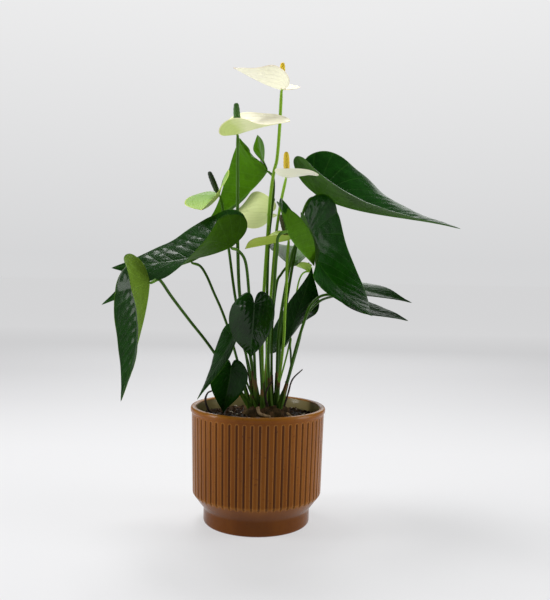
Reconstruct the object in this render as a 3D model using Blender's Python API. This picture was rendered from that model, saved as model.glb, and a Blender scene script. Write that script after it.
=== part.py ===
"""Potted anthurium: heart-shaped leaves and white to green spathes on long stems in a fluted glazed pot.

Metres, +Z up.  The origin is the middle of the pot's underside.  The plant is laid out in millimetres
from the middle of the soil's surface, so that it follows the pot when the pot's sizes change.
"""
import bpy
import bmesh
import numpy as np
from math import cos, pi, radians, sin

MM = 0.001
GAP = 0.0004                # clearance between pieces that meet

# ---- pot ------------------------------------------------------------------------------------------
POT_HEIGHT = 0.1207
RIM_RADIUS = 0.0700         # outside, at the rim
BODY_LOWER_RADIUS = 0.0668  # outside, where the straight body ends
FOOT_RADIUS = 0.0552
FOOT_HEIGHT = 0.0160
SHOULDER_HEIGHT = 0.0310    # where the sloping shoulder meets the straight body
RIM_HEIGHT = 0.0055         # plain band above the fluted body
RIM_STEP = 0.0012           # how far the rim band stands out
WALL = 0.0062
FLOOR = 0.0080
POT_SIDES = 56

# ---- soil and crown -------------------------------------------------------------------------------
SOIL_DROP = 0.0117          # soil edge below the rim
SOIL_MOUND = 0.0035         # how much the middle stands above the edge
SIDE_GAP = 0.0006           # between the soil and the pot's wall
CROWN_CENTRE = (0.008, 0.001)
CROWN_RADIUS = 0.0235
CROWN_HEIGHT = 0.0090

# ---- leaves and stems -----------------------------------------------------------------------------
LEAF_THICKNESS = 0.0008
SPATHE_THICKNESS = 0.0009
STEM_DROP = 0.0021          # a stem ends this far below the blade that it carries
STEM_NECK = 0.6             # stem radius where it meets its blade, as a share of its full radius
STEM_SIDES = 8
ROOT_CLEARANCE = 0.0040     # room between the pot's bore and the middle of a root
SPADIX_FOOT = 0.0022        # height of a spadix's thin foot above its spathe
# Margin of one half of a blade: distance from the base / length, distance from the midrib / half width.
LEAF_MARGIN = [(0, 0), (-.10, .05), (-.20, .16), (-.26, .38), (-.235, .64), (-.13, .86), (.04, .985),
               (.20, .985), (.38, .85), (.56, .61), (.73, .34), (.87, .13), (1, 0)]
SPATHE_MARGIN = [(0, 0), (-.09, .08), (-.17, .26), (-.18, .50), (-.10, .76), (.06, .95), (.24, 1.0),
                 (.44, .90), (.63, .68), (.80, .40), (.92, .14), (1, 0)]
MARGIN_STEPS = 13           # points round a leaf's margin, on each side
SPATHE_STEPS = 11
ACROSS_STEPS = 2            # faces from the midrib to the margin

# A blade hangs on its midrib, a Bezier curve through four handles in mm.  face is the way its upper
# side looks at the base.  Each half has (half width in mm, fold up from flat at the lobes and at the
# tip, and how far it curls back down, in degrees).  twist turns the tip, lift bends the lobes up.
LEAVES = {
    "leaf_01": dict(midrib=[(4, 38, 260), (-9, 88, 246), (-41, 108, 224), (-69, 112, 207)],
         face=(-1.0, -0.2, 0.2),
         left=(49, 120, 60, -35), right=(45, 35, 10, 20), twist=-85, lift=85),
    "leaf_02": dict(midrib=[(-28, -51, 175), (-59, -53, 159), (-101, -53, 158), (-146, -41, 152)],
         face=(-0.4, -0.3, 0.8),
         left=(54, 55, 0, 5), right=(55, 45, -15, 25), twist=45, lift=25),
    "leaf_03": dict(midrib=[(-74, 19, 161), (-107, 15, 150), (-137, 13, 132), (-168, 13, 113)],
         face=(-0.3, -0.1, 0.9),
         left=(39, 30, 0, 5), right=(39, 25, 15, 10), twist=30, lift=20),
    "leaf_04": dict(midrib=[(-102, -81, 139), (-101, -91, 112), (-112, -100, 74), (-120, -114, 33)],
         face=(-1.0, -0.2, 0.1),
         left=(47, 45, 0, 20), right=(47, 50, 20, 10), twist=15, lift=30),
    "leaf_05": dict(midrib=[(62, 75, 239), (106, 60, 214), (162, 39, 216), (206, -3, 199)],
         face=(0.3, -0.4, 0.8),
         left=(76, 55, 0, 45), right=(75, 55, 15, 25), twist=5, lift=20),
    "leaf_06": dict(midrib=[(47, 14, 190), (60, 31, 154), (86, 29, 131), (113, -32, 109)],
         face=(0.9, -0.3, 0.2),
         left=(59, 40, -40, 5), right=(54, 25, 30, 0), twist=-60, lift=0),
    "leaf_07": dict(midrib=[(25, -88, 190), (30, -66, 178), (45, -45, 169), (55, -13, 158)],
         face=(-0.2, 0.5, 0.8),
         left=(37, 90, 80, -10), right=(33, 85, 50, -25), twist=-35, lift=20),
    "leaf_08": dict(midrib=[(32, 35, 80), (39, 53, 103), (52, 62, 131), (57, 74, 157)],
         face=(-0.8, -0.3, 0.5),
         left=(32, 25, -10, 15), right=(35, 25, -15, 15), twist=-40, lift=20),
    "leaf_09": dict(midrib=[(-4, -70, 120), (-4, -70, 103), (-6, -70, 86), (-7, -50, 67)],
         face=(0.0, -1.0, 0.0),
         left=(24, 30, 35, -5), right=(28, 45, 20, 0), twist=-10, lift=25),
    "leaf_10": dict(midrib=[(-26, -34, 85), (-32, -45, 71), (-45, -56, 50), (-57, -68, 28)],
         face=(-0.8, -0.3, 0.6),
         left=(28, 25, -5, 15), right=(28, 20, -10, 20), twist=0, lift=20),
    "leaf_11": dict(midrib=[(-27, -33, 55), (-28, -29, 40), (-33, -30, 24), (-35, -19, 6)],
         face=(0.1, -1.0, -0.2),
         left=(20, 35, 20, 0), right=(23, 40, 15, 5), twist=-5, lift=25),
    "leaf_12": dict(midrib=[(34, 56, 160), (33, 78, 170), (34, 103, 178), (37, 130, 183)],
         face=(0.0, -0.4, 0.9),
         left=(31, 45, 20, 10), right=(31, 45, 15, 10), twist=-10, lift=20),
    "leaf_13": dict(midrib=[(102, 89, 135), (123, 71, 131), (144, 57, 126), (167, 48, 120)],
         face=(0.0, -0.3, 1.0),
         left=(29, 10, 15, 25), right=(29, 10, 20, 20), twist=-5, lift=25),
    "leaf_14": dict(midrib=[(90, 29, 123), (110, 21, 111), (134, 12, 111), (154, -4, 103)],
         face=(0.4, -0.3, 0.9),
         left=(28, 20, 5, 25), right=(27, 20, 0, 15), twist=-10, lift=20),
}
SPATHES = {
    "spathe_1": dict(midrib=[(19, 0, 339), (2, 15, 346), (-14, 11, 355), (-33, 14, 364)],
         face=(0.4, 0.0, 0.9),
         left=(26, 55, 15, 15), right=(28, 40, 25, 10), twist=0, lift=5),
    "spathe_2": dict(midrib=[(-26, -14, 290), (-8, -18, 296), (11, -20, 300), (27, -42, 298)],
         face=(-0.4, -0.3, 0.9),
         left=(30, 45, 0, 10), right=(30, 45, 10, 0), twist=-5, lift=-20),
    "spathe_3": dict(midrib=[(24, -34, 245), (32, -38, 245), (42, -22, 249), (52, -3, 253)],
         face=(0.0, -0.1, 1.0),
         left=(22, 30, 10, 10), right=(22, 30, 5, 10), twist=-30, lift=10),
    "spathe_4": dict(midrib=[(-47, 35, 233), (-51, 13, 223), (-56, -5, 216), (-60, -22, 212)],
         face=(-0.6, -0.2, 0.8),
         left=(34, 40, 20, 10), right=(34, 35, 25, 5), twist=5, lift=25),
    "spathe_5": dict(midrib=[(6, 88, 219), (-7, 91, 221), (-23, 99, 220), (-41, 116, 219)],
         face=(0.2, 0.6, 0.8),
         left=(24, 25, 25, 10), right=(24, 30, 20, 5), twist=-90, lift=20),
    "spathe_6": dict(midrib=[(28, -24, 184), (14, -32, 180), (-1, -32, 178), (-16, -17, 174)],
         face=(-0.2, -0.3, 0.9),
         left=(18, 25, 45, 10), right=(18, 30, 25, 5), twist=-25, lift=20),
    "spathe_7": dict(midrib=[(55, 90, 154), (51, 91, 152), (45, 82, 160), (40, 72, 162)],
         face=(-0.4, 0.2, 0.9),
         left=(10, 30, 30, 5), right=(10, 30, 10, 10), twist=-15, lift=25),
}

# A spadix stands on its spathe's base and ends at tip (mm).
SPADICES = {
    "spadix_1": dict(radius=3.0, tip=(19, 2, 367)),
    "spadix_2": dict(radius=3.5, tip=(-27, -20, 320)),
    "spadix_3": dict(radius=3.1, tip=(24, -33, 270)),
    "spadix_4": dict(radius=3.1, tip=(-58, 32, 258)),
    "spadix_5": dict(radius=2.7, tip=(12, 106, 238)),
    "spadix_6": dict(radius=3.1, tip=(20, -20, 209)),
    "spadix_7": dict(radius=1.2, tip=(54, 93, 163)),
}

# Stems, in mm: foot on the crown as (x, y), then the points that the stem passes on its way up.
STEMS = {
    "peduncle_1": dict(radius=1.7, foot=(5, -3),
         route=[(3, -2, 80), (4, -3, 132), (7, -4, 192), (9, -3, 230), (12, -3, 254), (15, -2, 268),
                (17, -1, 299)]),
    "peduncle_2": dict(radius=1.7, foot=(0, 4),
         route=[(-10, -6, 70), (-20, -12, 122), (-23, -17, 173), (-24, -19, 223)]),
    "peduncle_3": dict(radius=1.5, foot=(9, 3),
         route=[(9, 3, 69), (11, 2, 122), (15, -4, 184), (18, -16, 210), (20, -24, 223), (22, -29, 233)]),
    "peduncle_4": dict(radius=1.5, foot=(-4, 10),
         route=[(-15, 13, 68), (-27, 21, 124), (-35, 28, 174), (-40, 31, 198), (-43, 33, 220)]),
    "peduncle_5": dict(radius=1.4, foot=(4, 13),
         route=[(8, 27, 67), (7, 47, 120), (7, 62, 153), (7, 76, 187), (8, 85, 207)]),
    "peduncle_6": dict(radius=1.5, foot=(18, -4),
         route=[(25, -10, 76), (26, -15, 113), (27, -19, 138), (27, -21, 161)]),
    "peduncle_7": dict(radius=1.0, foot=(16, 17),
         route=[(31, 46, 65), (36, 66, 97), (41, 80, 133), (45, 85, 147), (50, 87, 152)]),
    "petiole_01": dict(radius=1.4, foot=(9, 9),
         route=[(7, 17, 121), (8, 31, 186), (10, 37, 213), (12, 42, 240), (11, 45, 255)]),
    "petiole_02": dict(radius=1.5, foot=(-2, -6),
         route=[(-5, -13, 71), (-10, -22, 122), (-14, -33, 159), (-21, -40, 171)]),
    "petiole_03": dict(radius=1.4, foot=(-9, 4),
         route=[(-34, 14, 92), (-51, 19, 131), (-58, 21, 146), (-65, 22, 156)]),
    "petiole_04": dict(radius=1.5, foot=(-8, -9),
         route=[(-47, -16, 70), (-69, -37, 102), (-84, -55, 125), (-92, -66, 139), (-95, -72, 142)]),
    "petiole_05": dict(radius=1.6, foot=(19, 13),
         route=[(22, 18, 73), (30, 34, 132), (39, 53, 187), (45, 62, 217), (52, 67, 233)]),
    "petiole_06": dict(radius=1.6, foot=(19, 3),
         route=[(20, 7, 85), (27, 13, 138), (33, 16, 171), (39, 14, 185)]),
    "petiole_07": dict(radius=1.4, foot=(13, -11),
         route=[(10, -22, 72), (14, -40, 123), (16, -58, 161), (17, -66, 172), (17, -74, 182),
                (20, -80, 187)]),
    "petiole_08": dict(radius=1.1, foot=(21, 18), route=[(33, 27, 40), (34, 33, 60), (33, 35, 71)]),
    "petiole_09": dict(radius=1.2, foot=(5, -14), route=[(1, -30, 78), (-1, -48, 112), (-3, -54, 120)]),
    "petiole_10": dict(radius=1.1, foot=(-6, -2),
         route=[(-9, -12, 50), (-16, -24, 76), (-22, -30, 85)]),
    "petiole_11": dict(radius=1.1, foot=(-1, -12),
         route=[(-9, -14, 31), (-17, -23, 50), (-23, -28, 57)]),
    "petiole_12": dict(radius=1.4, foot=(14, 12),
         route=[(13, 24, 89), (17, 40, 137), (22, 46, 149), (29, 51, 158)]),
    "petiole_13": dict(radius=1.4, foot=(24, 9),
         route=[(33, 6, 46), (41, 5, 77), (45, 6, 95), (52, 11, 110), (64, 25, 121), (78, 50, 125),
                (91, 76, 126)]),
    "petiole_14": dict(radius=1.5, foot=(22, -11),
         route=[(31, -11, 44), (39, -6, 76), (49, 1, 108), (53, 5, 117), (61, 11, 125), (70, 18, 128),
                (80, 24, 127)]),
}

# Roots that come out of the crown, and dry stalks standing on it: radius at the start and the end.
# A root's heights are measured from the soil's edge, a twig's from the top of the crown.
ROOTS = {
    "root_1": dict(radii=(1.7, 1.3), route=[(0, -25, 14), (2, -29, 9), (7, -33, 7.5), (13, -35, 6.5)]),
    "root_2": dict(radii=(1.5, 0.8), route=[(-44, -19, 5), (-50, -21, 10), (-53, -24, 20), (-51, -22, 27),
                                            (-47, -20, 29)]),
    "root_3": dict(radii=(1.3, 1.0), route=[(30, -22, 8), (34, -25, 5.5), (38, -31, 4.5),
                                        (37, -37, 4.5)]),
    "twig_1": dict(radii=(1.1, 0.6), route=[(27, -18, 1.2), (31, -19, 16), (35, -17, 29), (45, -14, 39)]),
    "twig_2": dict(radii=(1.2, 0.8), route=[(10, -17.5, 1.2), (8, -21, 12), (10, -23, 21),
                                        (15, -25, 29)]),
}


def material(name, colour, roughness):
    made = bpy.data.materials.new(name)
    made.use_nodes = True
    surface = made.node_tree.nodes["Principled BSDF"]
    surface.inputs["Base Color"].default_value = (*colour, 1)
    surface.inputs["Roughness"].default_value = roughness
    surface.inputs["Metallic"].default_value = 0
    return made


def place(name, data, look):
    data.materials.append(look)
    made = bpy.data.objects.new(name, data)
    bpy.context.scene.collection.objects.link(made)
    return made


def mesh_node(name, points, faces, look, sharp=50):
    """One object from points and faces; points that coincide become one."""
    mesh = bpy.data.meshes.new(name)
    mesh.from_pydata([tuple(p) for p in points], [], faces)
    work = bmesh.new()
    work.from_mesh(mesh)
    bmesh.ops.remove_doubles(work, verts=work.verts, dist=0.00001)
    bmesh.ops.dissolve_degenerate(work, edges=work.edges, dist=0.00001)
    work.to_mesh(mesh)
    work.free()
    mesh.shade_smooth()
    mesh.set_sharp_from_angle(angle=radians(sharp))
    return place(name, mesh, look)


def turned(name, profile, sides, look, centre=(0, 0), ripple=0.0):
    """A body of revolution.  The profile is (radius, height), from the bottom middle, up the outside."""
    points, rings = [], []
    for radius, height in profile:
        count = sides if radius > 0 else 1
        rings.append([len(points) + k for k in range(count)])
        for k in range(count):
            angle = 2 * pi * k / sides
            reach = radius * (1 + ripple * cos(5 * angle) + ripple * sin(3 * angle))
            points.append((centre[0] + reach * cos(angle), centre[1] + reach * sin(angle), height))
    faces = []
    for low, high in zip(rings, rings[1:]):
        for k in range(sides):
            after = (k + 1) % sides
            quad = [low[k % len(low)], low[after % len(low)], high[after % len(high)], high[k % len(high)]]
            faces.append(tuple(dict.fromkeys(quad)))
    return mesh_node(name, points, faces, look)


def tube(name, route, radii, look):
    """A round rod along a route: a bevelled curve with closed ends and a radius at every point."""
    curve = bpy.data.curves.new(name, "CURVE")
    curve.dimensions = "3D"
    curve.bevel_depth = 1.0
    curve.bevel_resolution = STEM_SIDES // 2 - 2
    curve.use_fill_caps = True
    spline = curve.splines.new("POLY")
    spline.points.add(len(route) - 1)
    for point, where, radius in zip(spline.points, route, radii):
        point.co = (*where, 1)
        point.radius = radius
    return place(name, curve, look)


def smooth_route(points, count):
    """Points evenly spaced along a smooth (Catmull-Rom) curve through the given points."""
    p = np.asarray(points, float)
    p = np.vstack([2 * p[0] - p[1], p, 2 * p[-1] - p[-2]])
    t = np.linspace(0, 1, 24, endpoint=False)[:, None]
    runs = []
    for a, b, c, d in zip(p, p[1:], p[2:], p[3:]):
        runs.append(0.5 * (2 * b + (c - a) * t + (2 * a - 5 * b + 4 * c - d) * t**2
                           + (3 * b - a - 3 * c + d) * t**3))
    runs.append(p[-2][None])
    return even(np.vstack(runs), count)


def even(line, count):
    """The line resampled to count points an equal distance apart."""
    travel = np.r_[0, np.cumsum(np.linalg.norm(np.diff(line, axis=0), axis=1))]
    at = np.linspace(0, travel[-1], count)
    return np.stack([np.interp(at, travel, line[:, k]) for k in range(line.shape[1])], 1)


def unit(vector):
    return vector / np.linalg.norm(vector)


def spine(shape):
    """The midrib: its points, and the tangent, side and upward directions along it."""
    a, b, c, d = (np.array(p, float) * MM + ORIGIN for p in shape["midrib"])
    t = np.linspace(0, 1, 121)[:, None]
    line = even((1 - t)**3 * a + 3 * t * (1 - t)**2 * b + 3 * t * t * (1 - t) * c + t**3 * d, 60)
    ahead = np.gradient(line, axis=0)
    ahead = ahead / np.linalg.norm(ahead, axis=1)[:, None]
    side = np.zeros_like(ahead)
    carried = unit(np.cross(ahead[0], np.array(shape["face"], float)))
    for k, direction in enumerate(ahead):
        carried = unit(carried - np.dot(carried, direction) * direction)
        side[k] = carried
    up = np.cross(side, ahead)
    turn = radians(shape["twist"]) * np.linspace(0, 1, 60)[:, None]
    side = side * np.cos(turn) + up * np.sin(turn)
    return line, ahead, side, np.cross(side, ahead)


def blade(name, shape, margin, steps, thickness, look):
    """A leaf or spathe: two folded, curling halves on a midrib, with lobes behind the base."""
    edge = smooth_route(margin, steps)
    line, ahead, side, up = spine(shape)
    length = np.linalg.norm(np.diff(line, axis=0), axis=1).sum()
    station = np.linspace(0, length, 60)
    lobe = -min(p[0] for p in margin) * length
    rank = np.linspace(0, 1, steps)
    inner = np.clip((rank - 0.38) / 0.62, 0, 1)**1.05
    t = np.linspace(0, 1, ACROSS_STEPS + 1)
    points, faces = [], []
    for sign, (half_width, fold_lobe, fold_tip, curl) in ((-1, shape["left"]), (1, shape["right"])):
        along = (inner[:, None] * (1 - t) + edge[:, :1] * t) * length
        out = edge[:, 1:] * t * half_width * MM
        inside = np.clip(along, 0, length)
        at, forward, across, lift = (
            np.stack([np.interp(inside, station, v[:, k]) for k in range(3)], -1)
            for v in (line, ahead, side, up))
        behind = np.clip(-along, 0, None)
        bend = np.maximum(radians(shape["lift"]) * behind / lobe, 1e-6) if shape["lift"] > 0 else (
            np.minimum(radians(shape["lift"]) * behind / lobe, -1e-6))
        at = (at - forward * (behind * np.sin(bend) / bend)[..., None]
              + lift * (behind * (1 - np.cos(bend)) / bend)[..., None])
        lift = lift * np.cos(bend)[..., None] + forward * np.sin(bend)[..., None]
        x = np.clip((along / length + 0.26) / 1.26, 0, 1)
        fold = radians(fold_lobe) + radians(fold_tip - fold_lobe) * x * x * (3 - 2 * x)
        droop = radians(curl) * out / (half_width * MM)
        droop = np.where(np.abs(droop) > 1e-6, droop, 1e-6)
        level = out * (np.sin(fold) - np.sin(fold - droop)) / droop
        raised = out * (np.cos(fold - droop) - np.cos(fold)) / droop
        half = at + across * (sign * level)[..., None] + lift * raised[..., None]
        start = len(points)
        points += list(half.reshape(-1, 3))
        row = ACROSS_STEPS + 1
        for i in range(steps - 1):
            for j in range(ACROSS_STEPS):
                a = start + i * row + j
                quad = (a, a + row, a + row + 1, a + 1)
                faces.append(quad if sign < 0 else quad[::-1])
    made = mesh_node(name, points, faces, look)
    shell = made.modifiers.new("Thickness", "SOLIDIFY")
    shell.thickness = thickness
    shell.offset = 0
    return made


def base_of(shape):
    """A blade's base, and its tangent and upward directions there."""
    line, ahead, _, up = spine(shape)
    return line[0], ahead[0], up[0]


for old in list(bpy.data.objects):
    bpy.data.objects.remove(old, do_unlink=True)

# ---- the pot --------------------------------------------------------------------------------------
body_top = POT_HEIGHT - RIM_HEIGHT
bore = RIM_RADIUS - WALL
lower_bore = BODY_LOWER_RADIUS - WALL
glaze = material("amber glaze", (0.16, 0.05, 0.012), 0.25)
turned("pot", [
    (0, 0.0), (FOOT_RADIUS - 0.002, 0.0), (FOOT_RADIUS, 0.002), (FOOT_RADIUS, FOOT_HEIGHT),
    (BODY_LOWER_RADIUS, SHOULDER_HEIGHT), (RIM_RADIUS - RIM_STEP, body_top),
    (RIM_RADIUS, body_top + 0.001), (RIM_RADIUS, POT_HEIGHT - 0.0015), (RIM_RADIUS - 0.0015, POT_HEIGHT),
    (bore + 0.0015, POT_HEIGHT), (bore, POT_HEIGHT - 0.0015), (lower_bore, SHOULDER_HEIGHT),
    (FOOT_RADIUS - WALL, FLOOR + 0.004), (FOOT_RADIUS - WALL - 0.004, FLOOR), (0, FLOOR),
], POT_SIDES, glaze)

# ---- the soil, with a low mound under the plant ---------------------------------------------------
soil_edge = POT_HEIGHT - SOIL_DROP
soil_top = soil_edge + SOIL_MOUND
soil_corner = FOOT_RADIUS - WALL - SIDE_GAP
soil_reach = lower_bore + (bore - lower_bore) * (
    (soil_edge - SHOULDER_HEIGHT) / (POT_HEIGHT - 0.0015 - SHOULDER_HEIGHT)) - SIDE_GAP
earth = material("potting soil", (0.025, 0.017, 0.012), 0.95)
mound_radius = CROWN_RADIUS + 0.014
turned("soil", [
    (0, FLOOR + GAP), (soil_corner - 0.004, FLOOR + GAP), (soil_corner, FLOOR + 0.004 + GAP),
    (lower_bore - SIDE_GAP, SHOULDER_HEIGHT), (soil_reach, soil_edge), (mound_radius, soil_top),
    (0, soil_top),
], POT_SIDES, earth)

# ---- the crown, a woody knob that all the stems stand on ------------------------------------------
crown_low = soil_top + GAP
crown_top = crown_low + CROWN_HEIGHT
wood = material("crown", (0.10, 0.055, 0.025), 0.85)
turned("crown", [
    (0, crown_low), (CROWN_RADIUS * 0.95, crown_low), (CROWN_RADIUS * 1.02, crown_low + 0.4 * CROWN_HEIGHT),
    (CROWN_RADIUS, crown_low + 0.8 * CROWN_HEIGHT), (CROWN_RADIUS * 0.93, crown_top), (0, crown_top),
], 20, wood, CROWN_CENTRE, 0.02)

# ---- leaves, spathes and their stems --------------------------------------------------------------
ORIGIN = np.array((0, 0, soil_edge))
STEM_FOOT = crown_top + GAP
leaf_green = material("leaf", (0.02, 0.09, 0.015), 0.3)
young_green = material("stem", (0.10, 0.24, 0.03), 0.4)
cream = material("spathe", (0.75, 0.76, 0.60), 0.45)
pale_green = material("green spathe", (0.42, 0.55, 0.18), 0.45)
yellow = material("yellow spadix", (0.75, 0.50, 0.06), 0.6)
olive = material("green spadix", (0.13, 0.22, 0.04), 0.6)

for name, shape in LEAVES.items():
    blade(name, shape, LEAF_MARGIN, MARGIN_STEPS, LEAF_THICKNESS, leaf_green)
for name, shape in SPATHES.items():
    look = cream if name in ("spathe_1", "spathe_2", "spathe_3") else pale_green
    blade(name, shape, SPATHE_MARGIN, SPATHE_STEPS, SPATHE_THICKNESS, look)

for name, stem in STEMS.items():
    family, number = name.split("_")
    carried = LEAVES["leaf_" + number] if family == "petiole" else SPATHES["spathe_" + number]
    base, ahead, up = base_of(carried)
    route = [np.array((stem["foot"][0] * MM, stem["foot"][1] * MM, STEM_FOOT))]
    route += [np.array(p) * MM + ORIGIN for p in stem["route"]]
    route.append(base - up * STEM_DROP)
    bends = 12 if family == "petiole" else 9
    share = np.linspace(0, 1, bends)
    swell = 1 + 0.22 * np.clip(1 - share / 0.2, 0, 1)
    neck = 1 - (1 - STEM_NECK) * np.clip((share - 0.93) / 0.07, 0, 1)
    radii = stem["radius"] * MM * swell * neck
    route = smooth_route(route, bends)
    lean = unit(route[1] - route[0])
    route[0, 2] += radii[0] * np.hypot(lean[0], lean[1])
    tube(name, route, radii, young_green)

# ---- spadices: a rod with a thin foot and a round end ---------------------------------------------
for name, rod in SPADICES.items():
    base, ahead, up = base_of(SPATHES[name.replace("spadix", "spathe")])
    tip = np.array(rod["tip"]) * MM + ORIGIN
    start = base + up * SPADIX_FOOT + ahead * 0.001
    share = np.array((0, 0.10, 0.22, 0.5, 0.78, 0.92, 0.985, 1.0))
    girth = np.array((0.25, 0.45, 0.92, 1.0, 0.93, 0.76, 0.42, 0.15))
    route = start + (tip - start) * share[:, None]
    look = yellow if name in ("spadix_1", "spadix_3") else olive
    tube(name, route, rod["radius"] * MM * girth, look)

# ---- roots and dry stalks -------------------------------------------------------------------------
bark = material("root", (0.36, 0.24, 0.13), 0.8)
for name, root in ROOTS.items():
    line = np.array(root["route"], float) * MM
    if name.startswith("twig"):
        line[:, 2] += crown_top - soil_edge
    reach = np.hypot(line[:, 0], line[:, 1])
    line[:, :2] *= np.minimum(1, (bore - ROOT_CLEARANCE) / reach)[:, None]
    route = smooth_route(line + ORIGIN, 9)
    tube(name, route, np.linspace(*root["radii"], 9) * MM, bark)
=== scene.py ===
"""Looks of a potted anthurium: a fluted brown-glazed pot, soil, glossy leaves and pale spathes.

Metres, +Z up.  The origin is the middle of the pot's underside.
"""

import bmesh
import bpy
import numpy as np
from math import pi, radians
from mathutils import Matrix


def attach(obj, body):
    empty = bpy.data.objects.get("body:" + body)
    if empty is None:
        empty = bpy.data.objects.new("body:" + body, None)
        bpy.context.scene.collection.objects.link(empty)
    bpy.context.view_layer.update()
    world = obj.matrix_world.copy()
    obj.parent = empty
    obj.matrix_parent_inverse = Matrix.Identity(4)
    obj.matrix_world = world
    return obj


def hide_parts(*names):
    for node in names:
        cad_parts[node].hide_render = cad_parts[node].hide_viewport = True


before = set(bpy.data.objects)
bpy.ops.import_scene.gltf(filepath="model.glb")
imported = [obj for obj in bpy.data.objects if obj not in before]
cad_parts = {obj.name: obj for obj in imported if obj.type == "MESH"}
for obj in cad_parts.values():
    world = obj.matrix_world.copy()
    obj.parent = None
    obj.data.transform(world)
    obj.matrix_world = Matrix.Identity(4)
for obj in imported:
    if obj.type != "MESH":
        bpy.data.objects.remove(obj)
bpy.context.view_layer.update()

# ==== the pot =======================================================================================
# A thrown or cast stoneware cover pot with a narrower foot, a sloping shoulder and a plain rim band.
# Round-ended flutes are pressed into its straight wall.  The glaze is a clear amber brown, painted darker
# in the flutes (pooled glaze and painted shade) and above the foot (painted shade), and lighter on the
# flute edges, the rim and the shoulder step (glaze breaking thin and painted highlight).
MM = 0.001
POT_HEIGHT = 0.1207
RIM_RADIUS = 0.0700
BODY_LOWER_RADIUS = 0.0668
FOOT_RADIUS = 0.0552
FOOT_HEIGHT = 0.0160
SHOULDER_HEIGHT = 0.0310
RIM_HEIGHT = 0.0055
RIM_STEP = 0.0012
WALL = 0.0062
FLOOR = 0.0080
FLUTES = 57
FLUTE_HALF_WIDTH = 0.0013
FLUTE_DEPTH = 0.0011
FLUTE_LOW = 0.0300          # middle of a flute's round lower end
FLUTE_HIGH = 0.1118         # middle of its round upper end
STEPS_PER_FLUTE = 14


class Socket:
    """One output of a node.  Arithmetic on it adds Math nodes, and node() adds any other node."""

    def __init__(self, tree, output=None):
        self.tree, self.output = tree, output

    def node(self, kind, settings=None, inputs=None, output=0):
        made = self.tree.nodes.new(kind)
        for name, value in (settings or {}).items():
            setattr(made, name, value)
        for name, value in (inputs or {}).items():
            if isinstance(value, Socket):
                self.tree.links.new(value.output, made.inputs[name])
            else:
                made.inputs[name].default_value = value
        return Socket(self.tree, made.outputs[output])

    def reckon(self, operation, first, second=0.0, clamp=False):
        return self.node("ShaderNodeMath", {"operation": operation, "use_clamp": clamp},
                         {0: first, 1: second})

    def __add__(self, other):
        return self.reckon("ADD", self, other)

    def __sub__(self, other):
        return self.reckon("SUBTRACT", self, other)

    def __rsub__(self, other):
        return self.reckon("SUBTRACT", other, self)

    def __mul__(self, other):
        return self.reckon("MULTIPLY", self, other)

    def __truediv__(self, other):
        return self.reckon("DIVIDE", self, other)

    __radd__, __rmul__ = __add__, __mul__

    def clipped(self):
        return self.reckon("ADD", self, 0.0, clamp=True)

    def fraction(self):
        return self.reckon("FRACT", self)

    def size(self):
        return self.reckon("ABSOLUTE", self)

    def mix(self, first, second):
        """A colour: first where this value is 0 and second where it is 1."""
        first, second = ((*c, 1) if isinstance(c, tuple) and len(c) == 3 else c for c in (first, second))
        return self.node("ShaderNodeMix", {"data_type": "RGBA"}, {0: self, 6: first, 7: second}, 2)


class Finish:
    """A material under construction: its Principled shader, its attributes and its noise."""

    def __init__(self, name, roughness=0.5, coat_roughness=0.1, specular=0.5, subsurface=0.0):
        self.material = bpy.data.materials.new(name)
        self.material.use_nodes = True
        tree = self.material.node_tree
        self.shader = tree.nodes["Principled BSDF"]
        self.start = Socket(tree)
        self.tree = tree
        for socket, value in (("Roughness", roughness), ("Coat Roughness", coat_roughness),
                              ("Specular IOR Level", specular), ("Subsurface Weight", subsurface),
                              ("Subsurface Radius", (0.4, 1.0, 0.2)), ("Subsurface Scale", 0.002)):
            self.shader.inputs[socket].default_value = value
        self.place = self.start.node("ShaderNodeTexCoord", output="Object")

    def attribute(self, name):
        return self.start.node("ShaderNodeAttribute", {"attribute_name": name}, output="Fac")

    def noise(self, scale, detail=3.0, roughness=0.55, stretch=(1, 1, 1)):
        """Noise from 0 to 1 with the given number of features to the metre."""
        where = self.start.node("ShaderNodeMapping", {}, {"Vector": self.place, "Scale": stretch})
        return self.start.node("ShaderNodeTexNoise", {},
                               {"Vector": where, "Scale": scale, "Detail": detail, "Roughness": roughness})

    def cells(self, scale, feature="F1"):
        return self.start.node("ShaderNodeTexVoronoi", {"feature": feature},
                               {"Vector": self.place, "Scale": scale})

    def wear(self, **sockets):
        """Links or sets the shader's sockets, named with _ for a space."""
        for name, value in sockets.items():
            target = self.shader.inputs[name.replace("_", " ")]
            if isinstance(value, Socket):
                self.tree.links.new(value.output, target)
            else:
                target.default_value = (*value, 1) if isinstance(value, tuple) else value

    def raise_by(self, height, distance, strength=1.0):
        bump = self.start.node("ShaderNodeBump", {}, {"Height": height, "Distance": distance,
                                                     "Strength": strength})
        self.wear(Normal=bump)


def quads(rows, columns, first=0, closed=True, flip=False):
    """The faces of a grid of points: rows by columns, the columns joined in a ring if closed."""
    i, j = np.meshgrid(np.arange(rows - 1), np.arange(columns if closed else columns - 1), indexing="ij")
    after = (j + 1) % columns
    corners = [i * columns + j, i * columns + after, (i + 1) * columns + after, (i + 1) * columns + j]
    faces = np.stack(corners[::-1] if flip else corners, -1).reshape(-1, 4) + first
    return faces.tolist()


def fan(middle, ring, flip=False):
    """Triangles that close a ring of points on one middle point."""
    after = np.roll(ring, -1)
    corners = [np.full(len(ring), middle), after, ring] if flip else [np.full(len(ring), middle), ring, after]
    return np.stack(corners, -1).tolist()


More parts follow.
